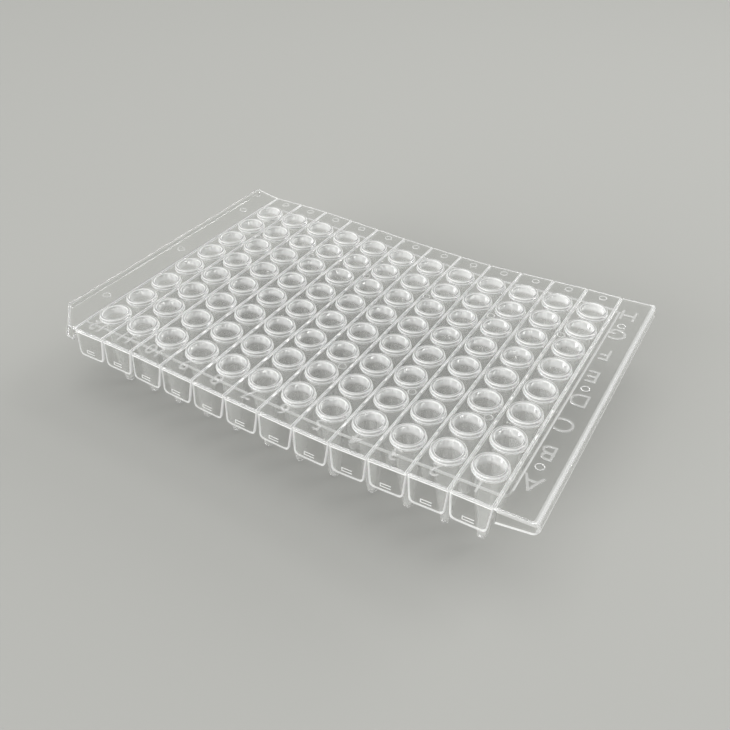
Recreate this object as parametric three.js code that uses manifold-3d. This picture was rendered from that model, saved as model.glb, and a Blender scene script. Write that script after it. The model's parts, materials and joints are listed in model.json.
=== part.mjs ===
import * as THREE from 'three';
import { mergeVertices } from 'three/addons/utils/BufferGeometryUtils.js';
import Module from 'manifold-3d';

// 96-well plate with deep conical tubes, moulded in one piece from clear plastic.
// Millimetres, +Z up. The origin lies under the middle of the plate, on the surface that the
// tube tips stand on. Row A is towards -Y and column 1 towards +X. The plate is a row of equal
// strips, one for each column, joined by thin webs under V-grooved tear lines, between two
// margins with turned-down walls. It has warped at the tear lines.

// Well grid
const wellPitch = 9;
const rowCount = 8;
const columnCount = 12;

// One well: a tapered bore in a tapered tube, with a raised rim on the deck. The walls are
// measured outwards from the bore.
const wellSides = 8;
const wellHeight = 20.7;
const boreRadius = 2.9;
const boreFloorRadius = 0.75;
const rimHeight = 0.9;
const rimWall = 0.8;
const neckWall = 0.6;
const tipWall = 0.45;
const tipThickness = 0.6;

// Deck and its tear lines
const deckThickness = 0.9;
const frontLand = 9;
const backLand = 10.8;
const grooveWidth = 0.8;
const grooveDepth = 0.45;
const slitWidth = 0.1;
const webWidth = 0.4;
const webCover = 0.075;
const webEndGap = 0.3;

// Margins outside the first and last tear lines, turned down along their front and outer edges
const marginWidth = 8.2;
const cornerRadius = 1.2;
const cutCorner = 5.8;
const skirtThickness = 0.8;
const skirtStart = 0.6;
const skirtInnerHeight = 3.9;
const skirtOuterHeight = 2.85;
const skirtSideFlare = 0.7;
const skirtEndFlare = 0.45;

// Rib under the deck that frames the tubes: clear of the end rows and past the end tear lines
const ribRowGap = 5;
const ribTearGap = 0.95;
const ribWidth = 0.5;
const ribDepth = 0.5;

// Finger tabs, one hanging from the front of each strip
const tabGap = 0.2;
const tabTopStep = 0.15;
const tabHeight = 7;
const tabTaper = 0.67;
const tabLean = 0.8;
const tabThickness = 0.8;
const tabCornerRadius = 1.2;

// Warp in degrees: each strip, from column 12 to column 1, rises towards +X by its tilt,
// and each margin rises outwards by its own
const stripTilts = [2.5, 0.8, -1.3, -1.4, -1.6, 0, 0, 0.9, 4.1, 4.4, 4.3, 2.7];
const leftMarginTilt = 7.5;
const rightMarginTilt = 4;

// How far a cutting body runs past what it cuts, and the steps in a rounded corner
const overrun = 2;
const cornerSteps = 3;

const frontEdge = -(rowCount - 1) / 2 * wellPitch - frontLand;
const backEdge = (rowCount - 1) / 2 * wellPitch + backLand;
const deckTop = wellHeight - rimHeight;
const deckMiddle = -deckThickness / 2;
const boreFloor = rimHeight - wellHeight + tipThickness;
const hingeDrop = (grooveDepth + deckThickness) / 2;
const ribLine = (rowCount - 1) / 2 * wellPitch + ribRowGap;

const wasm = await Module();
wasm.setup();

function solidOf(geometry) {
  geometry.deleteAttribute('normal');
  geometry.deleteAttribute('uv');
  const merged = mergeVertices(geometry, 1e-4);
  return new wasm.Manifold(new wasm.Mesh({
    numProp: 3,
    vertProperties: new Float32Array(merged.attributes.position.array),
    triVerts: new Uint32Array(merged.index.array),
  }));
}

function geometryOf(solid) {
  const mesh = solid.getMesh();
  const geometry = new THREE.BufferGeometry();
  geometry.setAttribute('position', new THREE.BufferAttribute(mesh.vertProperties, 3));
  geometry.setIndex(new THREE.BufferAttribute(mesh.triVerts, 1));
  return geometry;
}

function placed(solid, frame) {
  return solidOf(geometryOf(solid).applyMatrix4(frame));
}

// A shape drawn in X and Y, extruded up from one height to another
function extrudeUp(shape, low, high) {
  const geometry = new THREE.ExtrudeGeometry(shape, {
    depth: high - low,
    bevelEnabled: false,
    curveSegments: cornerSteps,
  });
  return geometry.translate(0, 0, low);
}

// A shape drawn in X and Z, extruded along Y
function extrudeBack(shape, front, back) {
  return extrudeUp(shape, -back, -front).rotateX(Math.PI / 2);
}

// A shape drawn in Y and Z, extruded along X
function extrudeAcross(shape, left, right) {
  return extrudeUp(shape, left, right).rotateX(Math.PI / 2).rotateZ(Math.PI / 2);
}

function polygon(corners) {
  return new THREE.Shape(corners.map(([across, up]) => new THREE.Vector2(across, up)));
}

// A round form with flat sides, drawn wide enough to keep the area of its true circle
function lathe(profile) {
  const step = 2 * Math.PI / wellSides;
  const widening = Math.sqrt(step / Math.sin(step));
  const points = profile.map(([radius, height]) => new THREE.Vector2(radius * widening, height));
  return new THREE.LatheGeometry(points, wellSides, step / 2).rotateX(Math.PI / 2);
}

// Strips. A strip's own frame has its origin on the deck's top, in the middle of the strip.

function stripDeck() {
  const half = (wellPitch - slitWidth) / 2;
  const flat = (wellPitch - grooveWidth) / 2;
  return extrudeBack(polygon([
    [-half, -deckThickness],
    [half, -deckThickness],
    [half, -grooveDepth],
    [flat, 0],
    [-flat, 0],
    [-half, -grooveDepth],
  ]), frontEdge, backEdge);
}

function boreRadiusAt(height) {
  const share = (height - boreFloor) / (rimHeight - boreFloor);
  return boreFloorRadius + share * (boreRadius - boreFloorRadius);
}

function wellOutside() {
  const tip = rimHeight - wellHeight;
  const rimRadius = boreRadius + rimWall;
  return lathe([
    [0, tip],
    [boreFloorRadius + tipWall, tip],
    [boreRadiusAt(deckMiddle) + neckWall, deckMiddle],
    [rimRadius, deckMiddle],
    [rimRadius, rimHeight],
    [0, rimHeight],
  ]);
}

function wellBore() {
  return lathe([
    [0, boreFloor],
    [boreFloorRadius, boreFloor],
    [boreRadiusAt(rimHeight + overrun), rimHeight + overrun],
    [0, rimHeight + overrun],
  ]);
}

// Finger tab: a leaning plate, trimmed to a trapezium with round lower corners
function fingerTab() {
  const halfTop = (wellPitch - tabGap) / 2;
  const halfBottom = wellPitch / 2 - tabTaper;
  const side = new THREE.Vector2(halfTop - halfBottom, tabHeight).setLength(tabCornerRadius);
  const face = new THREE.Shape();
  face.moveTo(halfTop, -tabTopStep);
  face.lineTo(-halfTop, -tabTopStep);
  face.lineTo(-halfBottom - side.x, -tabHeight + side.y);
  face.quadraticCurveTo(-halfBottom, -tabHeight, -halfBottom + tabCornerRadius, -tabHeight);
  face.lineTo(halfBottom - tabCornerRadius, -tabHeight);
  face.quadraticCurveTo(halfBottom, -tabHeight, halfBottom + side.x, -tabHeight + side.y);
  face.closePath();
  const outline = extrudeBack(face, frontEdge - tabLean - overrun, frontEdge + overrun);

  const low = -tabHeight - overrun;
  const foot = frontEdge + tabLean / tabHeight * low;
  const plate = extrudeAcross(polygon([
    [frontEdge, 0],
    [foot, low],
    [foot + tabThickness, low],
    [frontEdge + tabThickness, 0],
  ]), -wellPitch, wellPitch);
  return solidOf(outline).intersect(solidOf(plate));
}

// The framing rib's stretch on a strip
function stripRib(y) {
  const height = deckMiddle + deckThickness + ribDepth;
  const rib = new THREE.BoxGeometry(wellPitch - slitWidth, ribWidth, height);
  return solidOf(rib.translate(0, y, deckMiddle - height / 2));
}

function makeStrip() {
  let strip = solidOf(stripDeck()).add(fingerTab());
  strip = strip.add(stripRib(-ribLine)).add(stripRib(ribLine));
  for (let row = 0; row < rowCount; row += 1) {
    const y = (row - (rowCount - 1) / 2) * wellPitch;
    strip = strip.add(solidOf(wellOutside().translate(0, y, 0)));
    strip = strip.subtract(solidOf(wellBore().translate(0, y, 0)));
  }
  return strip;
}

// Margins. A margin's own frame has its origin on the deck's top at the tear line, with X
// running away from the wells on the right margin (side 1) and towards them on the left (-1).

// Outline from start outwards, with one front corner cut off and the others round.
// An inset draws its front and outer edges further in, and backRun moves its back edge out.
function marginOutline(side, start, inset, backRun) {
  const outer = marginWidth - inset;
  const front = frontEdge + inset;
  const back = backEdge + backRun;
  const radius = Math.max(cornerRadius - inset, cornerRadius / 4);
  const cut = cutCorner - inset * (2 - Math.SQRT2);
  const shape = new THREE.Shape();
  shape.moveTo(side * start, front);
  if (side < 0) {
    shape.lineTo(-outer + cut, front);
    shape.lineTo(-outer, front + cut);
  } else {
    shape.lineTo(outer - radius, front);
    shape.quadraticCurveTo(outer, front, outer, front + radius);
  }
  shape.lineTo(side * outer, back - radius);
  shape.quadraticCurveTo(side * outer, back, side * (outer - radius), back);
  shape.lineTo(side * start, back);
  shape.closePath();
  return shape;
}

// Plate of the margin, with its half of the tear line's groove
function marginDeck(side) {
  const profile = extrudeBack(polygon([
    [side * slitWidth / 2, -deckThickness],
    [side * (marginWidth + overrun), -deckThickness],
    [side * (marginWidth + overrun), 0],
    [side * grooveWidth / 2, 0],
    [side * slitWidth / 2, -grooveDepth],
  ]), frontEdge - overrun, backEdge + overrun);
  const outline = marginOutline(side, -overrun, 0, 0);
  const trim = extrudeUp(outline, -deckThickness - overrun, overrun);
  return solidOf(profile).intersect(solidOf(trim));
}

// An outline drawn down from the deck. It flares out to the front and the side on the way to
// a lower edge that is higher at the outside, and runs past that edge by drop.
function skirtBody(outline, drop) {
  const body = extrudeUp(outline, 0, 1);
  const length = backEdge - frontEdge;
  const position = body.attributes.position;
  for (let index = 0; index < position.count; index += 1) {
    const out = position.getX(index);
    const ahead = backEdge - position.getY(index);
    const fall = (skirtInnerHeight - skirtOuterHeight) * Math.abs(out) / marginWidth;
    const depth = skirtInnerHeight - fall;
    if (position.getZ(index) > 0.5) {
      position.setZ(index, deckMiddle);
    } else {
      const reach = (depth + drop + deckMiddle) / (depth + deckMiddle);
      position.setX(index, out * (1 + skirtSideFlare * reach / marginWidth));
      position.setY(index, backEdge - ahead * (1 + skirtEndFlare * reach / length));
      position.setZ(index, -depth - drop);
    }
  }
  return solidOf(body);
}

// The framing rib's stretch on a margin: beside the tear line, and back to it at both ends
function marginRib(side) {
  const start = slitWidth / 2;
  const near = ribTearGap - ribWidth / 2;
  const far = ribTearGap + ribWidth / 2;
  const end = ribLine + ribWidth / 2;
  const shape = polygon([
    [side * start, -end],
    [side * far, -end],
    [side * far, end],
    [side * start, end],
    [side * start, end - ribWidth],
    [side * near, end - ribWidth],
    [side * near, ribWidth - end],
    [side * start, ribWidth - end],
  ]);
  return solidOf(extrudeUp(shape, -deckThickness - ribDepth, deckMiddle));
}

function makeMargin(side) {
  const wall = skirtBody(marginOutline(side, skirtStart, 0, 0), 0);
  const pocket = skirtBody(marginOutline(side, -overrun, skirtThickness, overrun), overrun);
  return marginDeck(side).add(wall.subtract(pocket)).add(marginRib(side));
}

// Web that bridges the slit under a tear line, in a frame with its origin on the deck's top
function tearWeb() {
  const length = backEdge - frontEdge - 2 * webEndGap;
  const thickness = deckThickness - grooveDepth - 2 * webCover;
  const web = new THREE.BoxGeometry(webWidth, length, thickness);
  return solidOf(web.translate(0, (frontEdge + backEdge) / 2, -hingeDrop));
}

// Warp. The tear lines are points of one chain, followed outwards from the middle one.

function risingBy(degrees) {
  const angle = THREE.MathUtils.degToRad(degrees);
  return new THREE.Vector2(Math.cos(angle), Math.sin(angle));
}

function tearLineChain() {
  const middle = columnCount / 2;
  const chain = [];
  chain[middle] = new THREE.Vector2(0, deckTop - hingeDrop);
  for (let strip = middle; strip < columnCount; strip += 1) {
    chain[strip + 1] = chain[strip].clone().addScaledVector(risingBy(stripTilts[strip]), wellPitch);
  }
  for (let strip = middle - 1; strip >= 0; strip -= 1) {
    chain[strip] = chain[strip + 1].clone().addScaledVector(risingBy(stripTilts[strip]), -wellPitch);
  }
  return chain;
}

// Frame that turns about a point of the chain, with its origin on the deck's top
function frameAt(point, degrees) {
  const turn = new THREE.Matrix4().makeRotationY(-THREE.MathUtils.degToRad(degrees));
  turn.setPosition(point.x, 0, point.y);
  return turn.multiply(new THREE.Matrix4().makeTranslation(0, 0, hingeDrop));
}

function makePlate() {
  const tearLines = tearLineChain();
  const strip = makeStrip();
  const web = tearWeb();
  const tilts = [-leftMarginTilt, ...stripTilts, rightMarginTilt];
  let plate = placed(makeMargin(-1), frameAt(tearLines[0], tilts[0]));
  tearLines.forEach((tearLine, line) => {
    plate = plate.add(placed(web, frameAt(tearLine, (tilts[line] + tilts[line + 1]) / 2)));
    if (line < columnCount) {
      const middle = tearLine.clone().lerp(tearLines[line + 1], 0.5);
      plate = plate.add(placed(strip, frameAt(middle, stripTilts[line])));
    }
  });
  return plate.add(placed(makeMargin(1), frameAt(tearLines[columnCount], rightMarginTilt)));
}

const clearPlastic = new THREE.MeshStandardMaterial({
  color: 0xdfe2dd,
  roughness: 0.15,
  metalness: 0,
  transparent: true,
  opacity: 0.4,
  flatShading: true,
});

// The origin goes to the bottom centre of the finished plate
const plateGeometry = geometryOf(makePlate());
plateGeometry.computeBoundingBox();
const plateBox = plateGeometry.boundingBox;
const plateCentre = plateBox.getCenter(new THREE.Vector3());
plateGeometry.translate(-plateCentre.x, -plateCentre.y, -plateBox.min.z);

const wellPlate = new THREE.Mesh(plateGeometry, clearPlastic);
wellPlate.name = 'well_plate';

const model = new THREE.Group();
model.add(wellPlate);

export default model;
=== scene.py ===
import json
import math

import bmesh
import bpy
from mathutils import Matrix, Vector

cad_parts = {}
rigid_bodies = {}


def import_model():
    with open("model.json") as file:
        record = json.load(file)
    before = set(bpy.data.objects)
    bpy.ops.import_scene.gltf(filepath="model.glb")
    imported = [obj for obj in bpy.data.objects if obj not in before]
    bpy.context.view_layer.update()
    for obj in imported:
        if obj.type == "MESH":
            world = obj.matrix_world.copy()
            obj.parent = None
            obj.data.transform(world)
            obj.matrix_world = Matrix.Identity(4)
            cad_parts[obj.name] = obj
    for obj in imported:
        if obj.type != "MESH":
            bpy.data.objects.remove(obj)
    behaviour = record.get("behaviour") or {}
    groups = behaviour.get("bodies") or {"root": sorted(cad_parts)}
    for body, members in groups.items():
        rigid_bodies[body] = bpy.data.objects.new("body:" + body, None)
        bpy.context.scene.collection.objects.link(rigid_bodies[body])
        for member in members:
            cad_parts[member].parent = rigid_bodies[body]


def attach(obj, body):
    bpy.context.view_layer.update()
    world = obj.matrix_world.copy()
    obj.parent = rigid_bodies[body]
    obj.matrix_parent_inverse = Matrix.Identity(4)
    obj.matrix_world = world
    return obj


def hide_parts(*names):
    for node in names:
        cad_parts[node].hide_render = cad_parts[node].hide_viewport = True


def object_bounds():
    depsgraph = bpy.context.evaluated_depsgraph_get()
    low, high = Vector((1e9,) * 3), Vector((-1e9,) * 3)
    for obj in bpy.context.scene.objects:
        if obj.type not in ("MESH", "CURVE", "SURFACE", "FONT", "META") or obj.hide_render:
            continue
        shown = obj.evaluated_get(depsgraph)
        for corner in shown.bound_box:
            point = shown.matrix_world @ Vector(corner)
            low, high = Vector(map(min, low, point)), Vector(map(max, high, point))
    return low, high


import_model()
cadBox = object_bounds()
mm = 0.001

# The plate is drawn flat, in millimetres, with z = 0 on the deck's top and x = 0 on the middle
# tear line. It is then bent at the tear lines and seated in the frame's box.

plate = {
    "pitch": 9.0,
    "rows": 8,
    "columns": 12,
    "thickness": 0.9,
    "front": -40.5,
    "back": 42.3,
    "margin": 8.2,  # from the outer tear lines to the ends
    "rightExtra": 0.45,  # the right margin is wider
    "corner": 1.0,
    "cornerCuts": (0.3, 0.6, 1),  # sections through its arc, as shares of it
    "cutCorner": 5.8,
    "softEdge": 0.2,
    "grooveWidth": 0.9,  # the grooves are the tear lines
    "grooveDepth": 0.45,
    "grooveFloor": 0.16,
    "grooveLip": 0.13,  # rounding along both edges of a groove
    "lipDrop": 0.8,  # its depth, as a share of its width
    "band": 1.0,  # over the right margin's outer wall
}
half = plate["columns"] / 2 * plate["pitch"]
outer = half + plate["margin"]
rightEnd = outer + plate["rightExtra"]
tearLines = [line * plate["pitch"] - half for line in range(plate["columns"] + 1)]

parts = bpy.data.collections.new("plateParts")  # what is joined to the deck


def arcPoints(centre, radius, start, end, steps=4):  # angles in degrees
    angles = [math.radians(start + (end - start) * step / steps) for step in range(steps + 1)]
    return [(centre[0] + radius * math.cos(a), centre[1] + radius * math.sin(a)) for a in angles]


def storeMesh(name, bm):
    bmesh.ops.recalc_face_normals(bm, faces=bm.faces)
    mesh = bpy.data.meshes.new(name)
    bm.to_mesh(mesh)
    bm.free()
    return bpy.data.objects.new(name, mesh)


def loft(name, rings, around=None, along=None, closedPath=False, caps=0):
    # Skins closed rings, one after another. The lists around and along hold the finish of each
    # face round a ring and of each row from ring to ring; the higher of the two counts.
    bm = bmesh.new()
    verts = [[bm.verts.new(point) for point in ring] for ring in rings]
    count = len(rings[0])
    around = around or [clear] * count
    along = along or [clear] * len(rings)
    spans = list(zip(verts, verts[1:] + verts[:1]))
    for row, (low, high) in enumerate(spans if closedPath else spans[:-1]):
        for index in range(count):
            after = (index + 1) % count
            face = bm.faces.new((low[index], low[after], high[after], high[index]))
            face.material_index = max(around[index], along[row])
    if not closedPath:
        for cap in (verts[0], verts[-1]):
            bm.faces.new(cap).material_index = caps
    thing = storeMesh(name, bm)
    for material in finishes:
        thing.data.materials.append(material)
    return thing


def lathe(name, profile, sides, finish, caps=0):  # turns a profile of radius and height
    turns = [2 * math.pi * side / sides for side in range(sides)]
    rings = [
        [(radius * math.cos(turn), radius * math.sin(turn), height) for turn in turns]
        for radius, height in profile
    ]
    return loft(name, rings, along=finish, caps=caps)


def sideNormals(path):  # mitred normals of an open path, to its right
    normals = []
    for index, point in enumerate(path):
        ends = path[max(index - 1, 0):index + 2]
        runs = [(Vector(b) - Vector(a)).normalized() for a, b in zip(ends, ends[1:])]
        turned = [Vector((run.y, -run.x)) for run in runs]
        total = turned[0] + turned[-1]
        normals.append(total * (2 / total.length_squared))
    return normals


def newTree(name, kind, inputs, outputs):
    tree = bpy.data.node_groups.new(name, kind)
    for label, socketType, value in inputs:
        socket = tree.interface.new_socket(name=label, in_out="INPUT", socket_type=socketType)
        if value is not None:
            socket.default_value = value
    for label, socketType in outputs:
        tree.interface.new_socket(name=label, in_out="OUTPUT", socket_type=socketType)
    return tree, tree.nodes.new("NodeGroupInput"), tree.nodes.new("NodeGroupOutput")


def setInputs(modifier, **values):  # inputs are set by identifier, before the first evaluation
    for item in modifier.node_group.interface.items_tree:
        if item.in_out == "INPUT" and item.name in values:
            modifier[item.identifier] = values[item.name]


def evaluatedMesh(thing):
    return bpy.data.meshes.new_from_object(
        thing.evaluated_get(bpy.context.evaluated_depsgraph_get())
    )


plastic = {
    "color": (0.985, 0.988, 0.98, 1),
    "ior": 1.49,
    "flowScale": 90.0,
    "flowDetail": 2,
    "flowDepth": 0.0001,
    "flowStrength": 0.3,
    "hazeScale": 60,
    "hazeDetail": 5,
    "hazeRange": (0.35, 0.7),
    # transmission, light let through as a glow, lowest and highest roughness, and what one
    # wall lets through to the shadow
    "finishes": {
        "clear": (1.0, 0, (0.02, 0.06), 0.77),  # flat, polished faces
        "soft": (1.0, 0, (0.1, 0.2), 0.77),  # the deck's underside and the tabs, less polished
        "sheer": (0.93, 0.035, (0.08, 0.18), 0.86),  # tube walls, letter sides, front bevel
        "hazy": (0.78, 0.08, (0.1, 0.22), 0.8),  # groove walls, label tops, ends of the deck
        "hazeAndHighlight": (0.82, 0.16, (0.03, 0.08), 0.86),  # rim tops, collars, number sides, pin marks: a milkier copy of the plastic, partly real haze and partly a painted highlight that brightens the rims and collars
        "paintedHighlight": (0.05, 0.5, (0.04, 0.1), 0.8),  # rounded edges and fine lines, made near-opaque white: a painted highlight in place of the glow that clear edges pick up from the lamps
    },
}
clear, soft, sheer, hazy, hazeAndHighlight, paintedHighlight = range(6)


def flowGroup():  # faint flow waves and handling haze of a moulded surface
    group, start, end = newTree("mouldedSurface", "ShaderNodeTree", [
        ("Scale", "NodeSocketFloat", 100.0),
        ("Low Roughness", "NodeSocketFloat", 0.02),
        ("High Roughness", "NodeSocketFloat", 0.1),
    ], [("Height", "NodeSocketFloat"), ("Roughness", "NodeSocketFloat")])
    link = group.links.new
    place = group.nodes.new("ShaderNodeTexCoord")
    flow = group.nodes.new("ShaderNodeTexNoise")
    flow.inputs["Detail"].default_value = plastic["flowDetail"]
    haze = group.nodes.new("ShaderNodeTexNoise")
    haze.inputs["Scale"].default_value = plastic["hazeScale"]
    haze.inputs["Detail"].default_value = plastic["hazeDetail"]
    spread = group.nodes.new("ShaderNodeMapRange")
    spread.inputs["From Min"].default_value = plastic["hazeRange"][0]
    spread.inputs["From Max"].default_value = plastic["hazeRange"][1]
    link(place.outputs["Object"], flow.inputs["Vector"])
    link(place.outputs["Object"], haze.inputs["Vector"])
    link(start.outputs["Scale"], flow.inputs["Scale"])
    link(haze.outputs["Fac"], spread.inputs["Value"])
    link(start.outputs["Low Roughness"], spread.inputs["To Min"])
    link(start.outputs["High Roughness"], spread.inputs["To Max"])
    link(flow.outputs["Fac"], end.inputs["Height"])
    link(spread.outputs["Result"], end.inputs["Roughness"])
    return group


mouldedSurface = flowGroup()  # one for all finishes


def clearPlastic(name, clearness, glow, roughness, shade):
    material = bpy.data.materials.new(name + "Plastic")
    material.use_nodes = True
    tree = material.node_tree
    link = tree.links.new
    shader = tree.nodes["Principled BSDF"]
    shader.inputs["Base Color"].default_value = plastic["color"]
    shader.inputs["Transmission Weight"].default_value = clearness
    shader.inputs["IOR"].default_value = plastic["ior"]
    surface = tree.nodes.new("ShaderNodeGroup")
    surface.node_tree = mouldedSurface
    surface.inputs["Scale"].default_value = plastic["flowScale"]
    surface.inputs["Low Roughness"].default_value = roughness[0]
    surface.inputs["High Roughness"].default_value = roughness[1]
    bump = tree.nodes.new("ShaderNodeBump")
    bump.inputs["Strength"].default_value = plastic["flowStrength"]
    bump.inputs["Distance"].default_value = plastic["flowDepth"]
    link(surface.outputs["Height"], bump.inputs["Height"])
    link(surface.outputs["Roughness"], shader.inputs["Roughness"])
    link(bump.outputs["Normal"], shader.inputs["Normal"])
    body = shader
    if glow:
        scatter = tree.nodes.new("ShaderNodeBsdfTranslucent")
        scatter.inputs["Color"].default_value = plastic["color"]
        body = tree.nodes.new("ShaderNodeMixShader")
        body.inputs[0].default_value = glow
        link(shader.outputs[0], body.inputs[1])
        link(scatter.outputs[0], body.inputs[2])
    # lamps reach the floor through the plastic, which dims them at every wall
    path = tree.nodes.new("ShaderNodeLightPath")
    lamplight = tree.nodes.new("ShaderNodeMath")
    lamplight.operation = "MAXIMUM"
    through = tree.nodes.new("ShaderNodeBsdfTransparent")
    through.inputs["Color"].default_value = (shade, shade, shade, 1)
    mix = tree.nodes.new("ShaderNodeMixShader")
    link(path.outputs["Is Shadow Ray"], lamplight.inputs[0])
    link(path.outputs["Is Diffuse Ray"], lamplight.inputs[1])
    link(lamplight.outputs[0], mix.inputs[0])
    link(body.outputs[0], mix.inputs[1])
    link(through.outputs[0], mix.inputs[2])
    link(mix.outputs[0], tree.nodes["Material Output"].inputs["Surface"])
    return material


finishes = [clearPlastic(name, *values) for name, values in plastic["finishes"].items()]


def deckRing(y, inset, start, end):  # outline of the deck's section at one y
    edge = plate["softEdge"]
    top = -inset
    low = inset - plate["thickness"]
    left = start + inset
    right = end - inset
    ring = [(left, top - edge), (left + edge, top)]
    wide, floor, lip = plate["grooveWidth"] / 2, plate["grooveFloor"] / 2, plate["grooveLip"]
    lipLow = top - lip * plate["lipDrop"]
    side = [(wide, top), (wide - lip, lipLow), (floor, -plate["grooveDepth"])]
    for line in tearLines:
        ring += [(line - x, z) for x, z in side] + [(line + x, z) for x, z in reversed(side)]
    ring += [(right - plate["band"], top), (right - edge, top), (right, top - edge)]
    ring += [(right, low + edge), (right - edge, low)]
    ring += [(line, low) for line in reversed(tearLines)]
    ring += [(left + edge, low), (left, low + edge)]
    return [(x, y, z) for x, z in ring]


def makeDeck():
    corner = plate["corner"]
    edge = plate["softEdge"]

    def roundEnd(away):  # how far the end lies in from outer, this far from the front or back
        return corner - math.sqrt(corner ** 2 - max(corner - away, 0) ** 2)

    aways = [0, edge] + [corner * share for share in plate["cornerCuts"]]
    rings = []
    for away in aways + [plate["cutCorner"]]:
        cut = max(plate["cutCorner"] - away, 0)
        inset = max(edge - away, 0)
        rings.append(deckRing(plate["front"] + away, inset, cut - outer, rightEnd - roundEnd(away)))
    for away in reversed(aways):
        inset = max(edge - away, 0)
        turn = roundEnd(away)
        rings.append(deckRing(plate["back"] - away, inset, turn - outer, rightEnd - turn))
    # a ring starts with the left end's edge, and each groove has six points
    # the groove lips, the right end's bevels and the back bevel carry the painted highlight
    around = [hazy] + [clear, paintedHighlight, hazy, hazy, hazy, paintedHighlight] * len(tearLines)
    around += [clear, hazy, paintedHighlight, hazy, paintedHighlight]
    around += [soft] * (len(rings[0]) - len(around) - 1) + [hazy]
    along = [sheer] + [clear] * (len(rings) - 3) + [paintedHighlight]  # the front and back bevels
    return loft("deck", rings, around, along, caps=hazy)


well = {
    "sides": 32,
    "height": 20.7,  # rim to tip
    "rimRadius": 3.7,
    "rimHeight": 0.9,
    "rimEdge": 0.22,
    "rimFoot": 0.2,  # fillet on the deck
    "neckRadius": 3.35,
    "neckFillet": 0.3,
    "seam": 0.01,  # the fillets end this far inside the deck
    "sink": 0.1,  # and the outline crosses over this far inside it
    "tipRadius": 1.2,
    "tipTurn": -72,  # degrees, where a round tip goes over to its flat end
    "tipFlat": 0.4,  # radius of the flat end, as a share of the tip's
    "boreRadius": 2.9,
    "collarRadius": 2.8,
    "collarDepth": 1.8,
    "throatDrop": 0.3,  # from the collar to the cone
    "throatRadius": 2.62,
    "floorRadius": 0.75,
    "floorThickness": 0.6,
    "cutAbove": 1,  # the bore's cutter stands above the rim
    "edgeSteps": 3,
    "filletSteps": 2,
    "tipSteps": 4,
    "floorSteps": 3,
}


def wellOutside():  # from the rim's flat top down to the tip
    rim, top, foot = well["rimRadius"], well["rimHeight"], well["rimFoot"]
    under, neck, fillet = -plate["thickness"], well["neckRadius"], well["neckFillet"]
    edge, tip = well["rimEdge"], well["tipRadius"]
    seam, sink = well["seam"], well["sink"]
    edgeSteps, filletSteps, tipSteps = well["edgeSteps"], well["filletSteps"], well["tipSteps"]
    tipHeight = top - well["height"]
    profile = arcPoints((rim - edge, top - edge), edge, 90, 0, edgeSteps)
    # the rim's rounded edge and both fillets carry the painted highlight
    finish = [paintedHighlight] * edgeSteps + [clear]
    profile += arcPoints((rim + foot, foot - seam), foot, 180, 270, filletSteps)
    finish += [paintedHighlight] * filletSteps + [clear]
    profile += [(rim + foot, -sink), (neck + fillet, under + sink)]
    finish += [clear] * 2
    profile += arcPoints((neck + fillet, under - fillet + seam), fillet, 90, 180, filletSteps)
    finish += [paintedHighlight] * filletSteps + [sheer]
    profile += arcPoints((0, tipHeight + tip), tip, 0, well["tipTurn"], tipSteps)[:-1]
    finish += [sheer] * tipSteps
    profile += [(tip * well["tipFlat"], tipHeight)]
    # the rim's flat top and the tip's flat end take the partly painted haze
    return lathe("well", profile, well["sides"], finish, hazeAndHighlight)


def wellBore():  # what is cut out of a well
    top, edge, bore = well["rimHeight"], well["rimEdge"], well["boreRadius"]
    floor = top - well["height"] + well["floorThickness"]
    radius, edgeSteps, floorSteps = well["floorRadius"], well["edgeSteps"], well["floorSteps"]
    profile = [(bore + edge, top + well["cutAbove"])]
    profile += arcPoints((bore + edge, top - edge), edge, 90, 180, edgeSteps)
    profile += [
        (well["collarRadius"], top - well["collarDepth"]),
        (well["throatRadius"], top - well["collarDepth"] - well["throatDrop"]),
    ]
    profile += arcPoints((0, floor + radius), radius, 0, well["tipTurn"], floorSteps)[:-1]
    profile += [(radius * well["tipFlat"], floor)]
    # the bore's rounded top edge carries the painted highlight, and its collar the partly painted
    # haze
    finish = [clear] + [paintedHighlight] * edgeSteps + [hazeAndHighlight, hazy] + [sheer] * (floorSteps + 1)
    return lathe("bore", profile, well["sides"], finish)


tab = {  # finger tabs on the front edge
    "topWidth": 8.8,
    "bottomWidth": 7.66,
    "topStep": 0.7,  # the deck's edge shows above
    "height": 7.0,
    "lean": 0.8,
    "thickness": 0.8,
    "corner": 1.2,
    "softEdge": 0.3,  # seen from the front
    "softDepth": 0.2,
    "cornerSteps": 4,
    "gripAbove": 1.75,  # middle of the grip mark, above the lower edge
    "gripWidth": 2.5,
    "gripGap": 0.5,
    "gripLine": 0.18,
    "gripProud": 0.1,
}


def tabFace(z):  # y of the leaning front face
    return plate["front"] + tab["lean"] * z / tab["height"]


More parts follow.
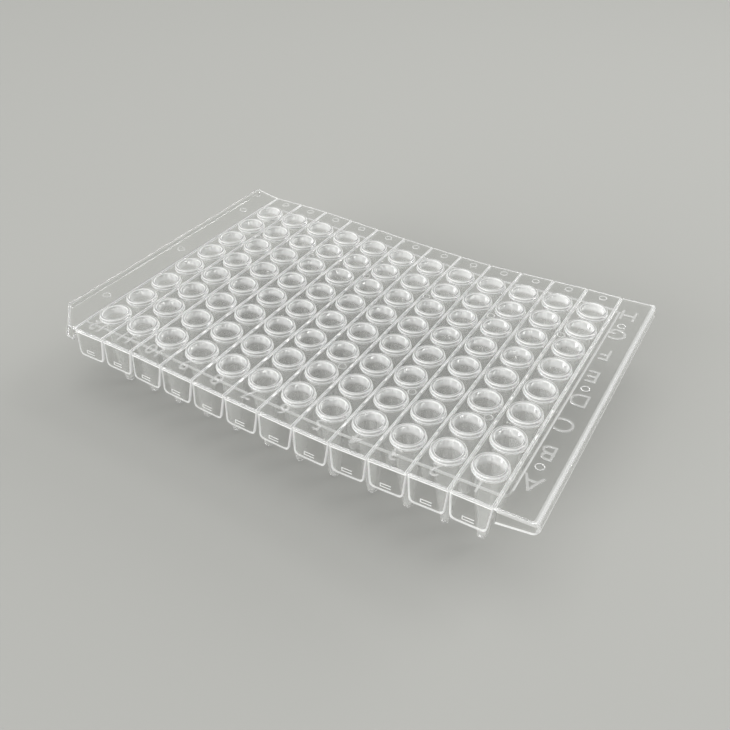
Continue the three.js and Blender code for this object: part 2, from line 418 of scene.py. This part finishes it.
def fingerTab():
    wide, narrow = tab["topWidth"] / 2, tab["bottomWidth"] / 2
    low, corner, edge = -tab["height"], tab["corner"], tab["softEdge"]
    depth = tab["softDepth"]
    side = Vector((wide - narrow, tab["height"])).normalized() * corner
    start = Vector((narrow, low)) + side
    bend = Vector((narrow, low))
    end = Vector((narrow - corner, low))
    shares = [step / tab["cornerSteps"] for step in range(tab["cornerSteps"] + 1)]
    curve = [start.lerp(bend, share).lerp(bend.lerp(end, share), share) for share in shares]
    right = [(wide, -tab["topStep"])] + [tuple(point) for point in curve]
    outline = right + [(-x, z) for x, z in reversed(right)]
    middle = low / 2

    def ring(inset, back):
        across, up = 1 - inset / wide, 1 + inset / middle
        return [
            (x * across, tabFace(z) + back, middle + (z - middle) * up) for x, z in outline
        ]

    rings = [ring(edge, 0), ring(0, depth), ring(0, tab["thickness"] - depth)]
    rings.append(ring(edge, tab["thickness"]))
    # the tab's whole outline carries the painted highlight
    return loft("fingerTab", rings, along=[paintedHighlight] * 4, caps=soft)


def gripMark():  # two short lines, joined at one end
    reach, line, gap = tab["gripWidth"] / 2, tab["gripLine"], tab["gripGap"] / 2
    height = tab["gripAbove"] - tab["height"]
    outline = [
        (-reach, -gap - line), (reach, -gap - line), (reach, -gap), (line - reach, -gap),
        (line - reach, gap), (reach, gap), (reach, gap + line), (-reach, gap + line),
    ]
    rings = []
    for back in (-tab["gripProud"], tab["gripProud"]):
        rings.append([(x, tabFace(z + height) + back, z + height) for x, z in outline])
    # the grip mark is painted highlight all over
    return loft("gripMark", rings, along=[paintedHighlight] * 2, caps=paintedHighlight)


skirt = {  # turned-down walls of the margins
    "start": 0.6,  # from the outer tear lines
    "thickness": 0.8,
    "innerHeight": 3.9,  # beside the outer tear lines
    "outerHeight": 2.85,  # at the plate's ends
    "leftFlare": 0.7,
    "rightFlare": 0.25,
    "frontFlare": 0.45,
    "root": 0.35,  # below the deck's top
    "rootInset": 0.02,  # the wall starts just inside the deck's end
    "band": 1.0,  # how far down the upper strip reaches
    "softEdge": 0.2,
    "footBand": 0.15,  # strip along the lower edge, which carries the painted highlight on the right
}


def makeSkirt(side):
    corner = plate["corner"]
    front, back = plate["front"], plate["back"]
    end, sideFlare = (outer, skirt["leftFlare"]) if side < 0 else (rightEnd, skirt["rightFlare"])
    path = [(half + skirt["start"], front)]
    if side < 0:
        path += [(end - plate["cutCorner"], front), (end, front + plate["cutCorner"])]
    else:
        path += arcPoints((end - corner, front + corner), corner, -90, 0)
    path += arcPoints((end - corner, back - corner), corner, 0, 90)
    rings = []
    for (x, y), normal in zip(path, sideNormals(path)):
        fall = (skirt["innerHeight"] - skirt["outerHeight"]) * (x - half) / plate["margin"]
        low = fall - skirt["innerHeight"]
        bevel = skirt["softEdge"]
        part = (skirt["band"] - skirt["root"]) / (-low - skirt["root"])
        section = [  # out from the path, share of the flare, height
            (-skirt["rootInset"], 0, -skirt["root"]),
            (-skirt["rootInset"] / 2, part, -skirt["band"]),
            (0, 1, low + bevel + skirt["footBand"]),
            (0, 1, low + bevel),
            (-bevel, 1, low),
            (bevel - skirt["thickness"], 1, low),
            (-skirt["thickness"], 1, low + bevel),
            (-skirt["thickness"], 0, -skirt["root"]),
        ]
        ring = []
        for out, flare, z in section:
            flareX = max(normal.x, 0) * sideFlare * flare
            flareY = min(normal.y, 0) * skirt["frontFlare"] * flare
            ring.append((side * (x + normal.x * out + flareX), y + normal.y * out + flareY, z))
        rings.append(ring)
    # the lower edge catches the light, and on the right the upper part as well: on the right the
    # lower edge carries the painted highlight, while the upper part and the left skirt's lower edge
    # are hazy
    around = [hazy, clear, paintedHighlight, paintedHighlight, paintedHighlight, paintedHighlight, clear, clear]
    if side < 0:
        around = [clear, clear, hazy, hazy, hazy, hazy, clear, clear]
    return loft("skirt", rings, around, [clear] * (len(rings) - 1))


rib = {  # frames the tubes, under the deck
    "halfLength": 55.1,
    "halfWidth": 36.5,
    "corner": 1.6,
    "width": 0.18,  # half of it, along the front and back
    "sideWidth": 0.15,
    "ridgeX": 55.5,  # a fine ridge on the deck, over the rib beside the letters
    "ridgeWidth": 0.3,
    "ridgeHeight": 0.16,
    "ridgeRoot": 0.2,
    "depth": 0.5,
    "taper": 0.8,  # its width at the bottom, as a share
}


def makeRib():
    x, y, radius = rib["halfLength"], rib["halfWidth"], rib["corner"]
    folds = [line for line in tearLines if abs(line) < x - radius]
    path = [(line, -y) for line in folds]
    path += arcPoints((x - radius, radius - y), radius, -90, 0)
    path += arcPoints((x - radius, y - radius), radius, 0, 90)
    path += [(line, y) for line in reversed(folds)]
    path += arcPoints((radius - x, y - radius), radius, 90, 180)
    path += arcPoints((radius - x, radius - y), radius, 180, 270)
    normals = sideNormals(path[-1:] + path + path[:1])[1:-1]
    root, low = -plate["thickness"] / 2, -plate["thickness"] - rib["depth"]
    rings = []
    for (px, py), normal in zip(path, normals):
        width = rib["width"] + (rib["sideWidth"] - rib["width"]) * normal.normalized().x ** 2
        section = [(1, root), (rib["taper"], low), (-rib["taper"], low), (-1, root)]
        rings.append([
            (px + normal.x * out * width, py + normal.y * out * width, z) for out, z in section
        ])
    # the rib's bottom and inner side carry the painted highlight
    return loft("framingRib", rings, [clear, paintedHighlight, paintedHighlight, clear], closedPath=True)


def makeRidge():
    x, y, wide = rib["ridgeX"], rib["halfWidth"] - rib["corner"], rib["ridgeWidth"] / 2
    section = [(-wide, -rib["ridgeRoot"]), (-wide, 0), (-wide / 2, rib["ridgeHeight"])]
    section += [(-across, z) for across, z in reversed(section)]
    rings = [[(x + across, end, z) for across, z in section] for end in (-y, y)]
    # the ridge is painted highlight all over
    return loft("ridge", rings, [paintedHighlight] * len(section), caps=paintedHighlight)


labels = {  # grid letters and numbers, raised on the deck
    "letterSize": 6.4,
    "letterX": 57.75,
    "letterPitch": 9.4,
    "letterMiddle": 1.7,
    "numberSize": 5.0,
    "numberY": -36.9,
    "thin": -0.05,  # draws the letters' strokes in
    "proud": 0.15,
    "sunk": 0.08,
    "curveSteps": 4,
    "weld": 1e-4,
}

pinMark = {  # ejector marks
    "sides": 20,
    "radius": 1.05,
    "ring": (0.75, 0.83, 0.9),  # inner foot and both sides of the crest, as shares of the radius
    "height": 0.12,
    "foot": 0.02,  # the inner foot lies this far above the deck's top, and the outer one below
    "root": 0.2,
    "marginX": 57.6,
    "marginY": (-26.5, 1.2, 29),
    "field": [  # tear lines with a mark, counted from the middle one, how far beside, and y
        ((1, 3, 5), -1.8, -18.0),
        ((-5, -3, -1, 1, 3, 5), 1.1, 18.3),
    ],
    "strip": (0.35, 39.4),  # one in each strip, x from its middle, and y
}


def labelMesh(text, size, x, y, thin=0):
    curve = bpy.data.curves.new(text, "FONT")
    curve.body = text
    curve.size = size
    curve.offset = thin
    curve.extrude = (labels["proud"] + labels["sunk"]) / 2
    curve.resolution_u = labels["curveSteps"]
    curve.align_x = "CENTER"
    curve.align_y = "CENTER"
    thing = bpy.data.objects.new(text, curve)
    bpy.context.scene.collection.objects.link(thing)
    mesh = evaluatedMesh(thing)
    bpy.data.objects.remove(thing)
    lift = (labels["proud"] - labels["sunk"]) / 2
    # upright when seen from the back
    mesh.transform(Matrix.Translation((x, y, lift)) @ Matrix.Rotation(math.pi, 4, "Z"))
    return mesh


def joined(name, meshes, sides=0):
    bm = bmesh.new()
    for mesh in meshes:
        bm.from_mesh(mesh)
    bmesh.ops.remove_doubles(bm, verts=bm.verts, dist=labels["weld"])
    thing = storeMesh(name, bm)
    for material in finishes:
        thing.data.materials.append(material)
    if sides:  # raised strokes: hazy tops, and sides in the given finish, which on the numbers is partly a painted highlight
        for face in thing.data.polygons:
            face.material_index = hazy if abs(face.normal.z) > 0.5 else sides
    return thing


def makeLetters():
    meshes = []
    for row in range(plate["rows"]):
        y = labels["letterMiddle"] + (row - (plate["rows"] - 1) / 2) * labels["letterPitch"]
        size, thin = labels["letterSize"], labels["thin"]
        meshes.append(labelMesh("ABCDEFGH"[row], size, labels["letterX"], y, thin))
    return joined("letters", meshes, sheer)


def makeNumbers():
    meshes = []
    for column in range(plate["columns"]):
        x = half - (column + 0.5) * plate["pitch"]
        meshes.append(labelMesh(str(column + 1), labels["numberSize"], x, labels["numberY"]))
    return joined("numbers", meshes, hazeAndHighlight)


def pinMarks():
    radius, height, foot = pinMark["radius"], pinMark["height"], pinMark["foot"]
    inside, crestStart, crestEnd = [radius * share for share in pinMark["ring"]]
    profile = [
        (inside, foot), (crestStart, height), (crestEnd, height),
        (radius, -foot), (radius, -pinMark["root"]),
    ]
    # the crest's top carries the painted highlight, and its slopes the partly painted haze
    ring = lathe("pinMark", profile, pinMark["sides"], [hazeAndHighlight, paintedHighlight, hazeAndHighlight, clear, clear])
    places = [(side * pinMark["marginX"], y) for side in (-1, 1) for y in pinMark["marginY"]]
    for lines, shift, y in pinMark["field"]:
        places += [(line * plate["pitch"] + shift, y) for line in lines]
    shift, y = pinMark["strip"]
    places += [(tear - plate["pitch"] / 2 + shift, y) for tear in tearLines[1:]]
    meshes = []
    for x, y in places:
        mesh = ring.data.copy()
        mesh.transform(Matrix.Translation((x, y, 0)))
        meshes.append(mesh)
    return joined("pinMarks", meshes)


# Geometry Nodes repeat the wells and tabs, and join everything into one solid.
def gridTree():  # copies of one object on a flat grid
    tree, start, end = newTree("copiesOnGrid", "GeometryNodeTree", [
        ("Copy", "NodeSocketObject", None),
        ("Columns", "NodeSocketInt", 1),
        ("Rows", "NodeSocketInt", 1),
        ("Pitch", "NodeSocketFloat", 1.0),
    ], [("Geometry", "NodeSocketGeometry")])
    link = tree.links.new
    grid = tree.nodes.new("GeometryNodeMeshGrid")
    for count, size in (("Columns", "X"), ("Rows", "Y")):
        gaps = tree.nodes.new("ShaderNodeMath")
        gaps.operation = "SUBTRACT"
        gaps.inputs[1].default_value = 1
        span = tree.nodes.new("ShaderNodeMath")
        span.operation = "MULTIPLY"
        link(start.outputs[count], gaps.inputs[0])
        link(gaps.outputs[0], span.inputs[0])
        link(start.outputs["Pitch"], span.inputs[1])
        link(span.outputs[0], grid.inputs["Size " + size])
        link(start.outputs[count], grid.inputs["Vertices " + size])
    copy = tree.nodes.new("GeometryNodeObjectInfo")
    place = tree.nodes.new("GeometryNodeInstanceOnPoints")
    realize = tree.nodes.new("GeometryNodeRealizeInstances")
    link(start.outputs["Copy"], copy.inputs["Object"])
    link(grid.outputs["Mesh"], place.inputs["Points"])
    link(copy.outputs["Geometry"], place.inputs["Instance"])
    link(place.outputs["Instances"], realize.inputs["Geometry"])
    link(realize.outputs["Geometry"], end.inputs["Geometry"])
    return tree


def plateTree():
    tree, start, end = newTree("mouldedPlate", "GeometryNodeTree", [
        ("Deck", "NodeSocketGeometry", None),
        ("Well", "NodeSocketObject", None),
        ("Bore", "NodeSocketObject", None),
        ("Finger Tab", "NodeSocketObject", None),
        ("Grip Mark", "NodeSocketObject", None),
        ("Parts", "NodeSocketCollection", None),
        ("Columns", "NodeSocketInt", 1),
        ("Rows", "NodeSocketInt", 1),
        ("Pitch", "NodeSocketFloat", 1.0),
        ("Sharp Angle", "NodeSocketFloat", 0.6),  # radians
        ("Clear Material", "NodeSocketMaterial", None),
    ], [("Plate", "NodeSocketGeometry")])
    link = tree.links.new
    copies = gridTree()

    def repeated(name, rows):
        group = tree.nodes.new("GeometryNodeGroup")
        group.node_tree = copies
        link(start.outputs[name], group.inputs["Copy"])
        link(start.outputs["Columns"], group.inputs["Columns"])
        link(start.outputs["Pitch"], group.inputs["Pitch"])
        if rows:
            link(start.outputs["Rows"], group.inputs["Rows"])
        return group.outputs["Geometry"]

    def boolean(operation, first, *others):
        node = tree.nodes.new("GeometryNodeMeshBoolean")
        node.operation = operation
        node.solver = "MANIFOLD"
        if operation == "DIFFERENCE":
            link(first, node.inputs["Mesh 1"])
        else:
            others += (first,)
        for other in others:
            link(other, node.inputs["Mesh 2"])
        return node.outputs["Mesh"]

    extra = tree.nodes.new("GeometryNodeCollectionInfo")
    extra.inputs["Separate Children"].default_value = True
    link(start.outputs["Parts"], extra.inputs["Collection"])
    body = boolean(
        "UNION", start.outputs["Deck"], repeated("Well", True), repeated("Finger Tab", False),
        repeated("Grip Mark", False), extra.outputs["Instances"],
    )
    body = boolean("DIFFERENCE", body, repeated("Bore", True))

    smooth = tree.nodes.new("GeometryNodeSetShadeSmooth")
    crease = tree.nodes.new("GeometryNodeSetShadeSmooth")
    crease.domain = "EDGE"
    crease.inputs["Shade Smooth"].default_value = False
    angle = tree.nodes.new("GeometryNodeInputMeshEdgeAngle")
    sharp = tree.nodes.new("FunctionNodeCompare")
    sharp.operation = "GREATER_THAN"
    realize = tree.nodes.new("GeometryNodeRealizeInstances")
    finish = tree.nodes.new("GeometryNodeInputMaterialIndex")
    flat = tree.nodes.new("FunctionNodeCompare")
    flat.data_type = "INT"
    flat.operation = "EQUAL"
    dress = tree.nodes.new("GeometryNodeSetMaterial")
    link(body, smooth.inputs["Geometry"])
    link(smooth.outputs["Geometry"], crease.inputs["Geometry"])
    link(angle.outputs["Unsigned Angle"], sharp.inputs["A"])
    link(start.outputs["Sharp Angle"], sharp.inputs["B"])
    link(sharp.outputs["Result"], crease.inputs["Selection"])
    link(crease.outputs["Geometry"], realize.inputs["Geometry"])
    link(realize.outputs["Geometry"], dress.inputs["Geometry"])
    link(finish.outputs[0], flat.inputs[2])  # compared with 0, the first finish
    link(flat.outputs["Result"], dress.inputs["Selection"])
    link(start.outputs["Clear Material"], dress.inputs["Material"])
    link(dress.outputs["Geometry"], end.inputs["Plate"])
    return tree


warp = {  # in degrees: each strip rises towards +x, each margin rises outwards
    "strips": (2.5, 0.8, -1.3, -1.4, -1.6, 0, 0, 0.9, 4.1, 4.4, 4.3, 2.7),
    "leftMargin": 7.5,
    "rightMargin": 4.0,
    "hingeDrop": 0.675,  # the plate bends at this depth
    "foldWidth": 0.1,  # this near a tear line, both sides share a tilt
}


def bendPlate(mesh):
    pitch, drop = plate["pitch"], warp["hingeDrop"]
    tilts = [-warp["leftMargin"], *warp["strips"], warp["rightMargin"]]
    angles = [math.radians(tilt) for tilt in tilts]
    hinges = [Vector((0, -drop))]
    for angle in angles[1:-1]:
        hinges.append(hinges[-1] + pitch * Vector((math.cos(angle), math.sin(angle))))
    for vertex in mesh.vertices:
        x, y, z = vertex.co
        nearest = min(max(round((x + half) / pitch), 0), plate["columns"])
        strip = min(max(math.floor((x + half) / pitch), -1), plate["columns"])
        angle = angles[strip + 1]
        line = min(max(strip, 0), plate["columns"])
        if abs(x - tearLines[nearest]) < warp["foldWidth"]:
            line = nearest
            angle = (angles[nearest] + angles[nearest + 1]) / 2
        along, up = x - tearLines[line], z + drop
        vertex.co = (
            hinges[line].x + along * math.cos(angle) - up * math.sin(angle),
            y,
            hinges[line].y + along * math.sin(angle) + up * math.cos(angle),
        )


def seatInFrame(mesh):
    low = Vector([min(vertex.co[axis] for vertex in mesh.vertices) for axis in range(3)])
    high = Vector([max(vertex.co[axis] for vertex in mesh.vertices) for axis in range(3)])
    middle = (low + high) / 2
    cadMiddle = (cadBox[0] + cadBox[1]) / 2
    shift = cadMiddle - middle * mm
    shift.z = cadBox[0].z - low.z * mm
    mesh.transform(Matrix.Translation(shift) @ Matrix.Scale(mm, 4))


def makePlate():
    sources = {
        "Well": wellOutside(),
        "Bore": wellBore(),
        "Finger Tab": fingerTab(),
        "Grip Mark": gripMark(),
    }
    extras = [makeSkirt(1), makeSkirt(-1), makeRib(), makeRidge()]
    for part in extras + [makeLetters(), makeNumbers(), pinMarks()]:
        parts.objects.link(part)
    print("plate parts drawn")
    deck = makeDeck()
    bpy.context.scene.collection.objects.link(deck)
    modifier = deck.modifiers.new("mouldedPlate", "NODES")
    modifier.node_group = plateTree()
    setInputs(modifier, Parts=parts, Columns=plate["columns"], Rows=plate["rows"],
              Pitch=plate["pitch"], **{"Clear Material": finishes[clear]}, **sources)
    mesh = evaluatedMesh(deck)
    deck.modifiers.clear()
    print("plate joined:", len(mesh.polygons), "faces")
    bendPlate(mesh)
    seatInFrame(mesh)
    deck.data = mesh
    deck.name = "plate"
    even = deck.modifiers.new("evenNormals", "WEIGHTED_NORMAL")
    even.keep_sharp = True
    deck.data = evaluatedMesh(deck)
    deck.modifiers.clear()
    for part in list(parts.objects) + list(sources.values()):
        bpy.data.objects.remove(part)
    bpy.data.collections.remove(parts)
    print("plate bent and seated")
    return deck


stage = {
    "size": 40,  # metres
    "color": (0.365, 0.365, 0.348, 1),
    "roughness": 0.9,
    "shine": 0.1,
    "sky": (0.98, 0.99, 0.97, 1),
    "skyStrength": 0.38,
}


def paperFloor():
    material = bpy.data.materials.new("paperFloor")
    material.use_nodes = True
    tree = material.node_tree
    shader = tree.nodes["Principled BSDF"]
    shader.inputs["Base Color"].default_value = stage["color"]
    shader.inputs["Roughness"].default_value = stage["roughness"]
    shader.inputs["Specular IOR Level"].default_value = stage["shine"]
    return material


def makeStage():
    bpy.ops.mesh.primitive_plane_add(size=stage["size"])
    floor = bpy.context.object
    floor.name = "floor"
    floor.data.materials.append(paperFloor())


lamps = {  # two softboxes, and two far low lights that pick out the edges
    "key": {"toward": (0.40, 0.47, 0.78), "distance": 0.9, "size": 0.3, "power": 1.9},
    "overhead": {"toward": (-0.1, 0, 1.0), "distance": 1.4, "size": 1.0, "power": 8.5},
    "back": {
        "toward": (0.45, 0.85, 0.2), "distance": 3, "spread": 50, "power": 2.6, "through": True,
    },
    "front": {
        "toward": (-0.3, -0.95, 0.15), "distance": 3, "spread": 50, "power": 5.2, "through": False,
    },
}


def makeLamps():
    for name, lamp in lamps.items():
        data = bpy.data.lights.new(name, "SUN" if "spread" in lamp else "AREA")
        data.energy = lamp["power"]
        toward = Vector(lamp["toward"]).normalized()
        light = bpy.data.objects.new(name, data)
        light.location = toward * lamp["distance"]
        light.rotation_euler = toward.to_track_quat("Z", "Y").to_euler()
        if "spread" in lamp:
            data.angle = math.radians(lamp["spread"])
            light.visible_glossy = False  # no glare on the flat deck
            light.visible_transmission = lamp["through"]  # whether it shows through the plate
        else:
            data.size = lamp["size"]
            light.visible_camera = False
        bpy.context.scene.collection.objects.link(light)
    world = bpy.data.worlds.new("studio")
    world.use_nodes = True
    background = world.node_tree.nodes["Background"]
    background.inputs["Color"].default_value = stage["sky"]
    background.inputs["Strength"].default_value = stage["skyStrength"]
    bpy.context.scene.world = world


view = {
    "azimuth": 29.37,  # degrees round from the front, towards +x
    "elevation": 38.50,
    "roll": 2.26,
    "target": (11.85, -16.18, 20.7),  # millimetres, on the rims
    "distance": 174.4,
    "lens": 37.92,
    "sensor": 36,
    "nearest": 0.01,  # metres
}


def makeCamera():
    azimuth, elevation = math.radians(view["azimuth"]), math.radians(view["elevation"])
    back = Vector((
        math.cos(elevation) * math.sin(azimuth),
        -math.cos(elevation) * math.cos(azimuth),
        math.sin(elevation),
    ))
    level = Vector((0, 0, 1)).cross(back).normalized()
    roll = math.radians(view["roll"])
    right = level * math.cos(roll) + back.cross(level) * math.sin(roll)
    turn = Matrix((right, back.cross(right), back)).transposed().to_4x4()
    data = bpy.data.cameras.new("camera")
    data.lens = view["lens"]
    data.sensor_width = view["sensor"]
    data.clip_start = view["nearest"]
    camera = bpy.data.objects.new("camera", data)
    spot = (Vector(view["target"]) + back * view["distance"]) * mm
    camera.matrix_world = Matrix.Translation(spot) @ turn
    bpy.context.scene.collection.objects.link(camera)
    bpy.context.scene.camera = camera


scene = bpy.context.scene
scene.view_settings.view_transform = "Standard"
scene.cycles.max_bounces = 32  # light crosses many thin walls
scene.cycles.transmission_bounces = 32
scene.cycles.glossy_bounces = 32
scene.cycles.transparent_max_bounces = 64

whole = makePlate()
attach(whole, "root")
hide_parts("well_plate")
makeStage()
makeLamps()
makeCamera()
print("stage, lamps and camera set")
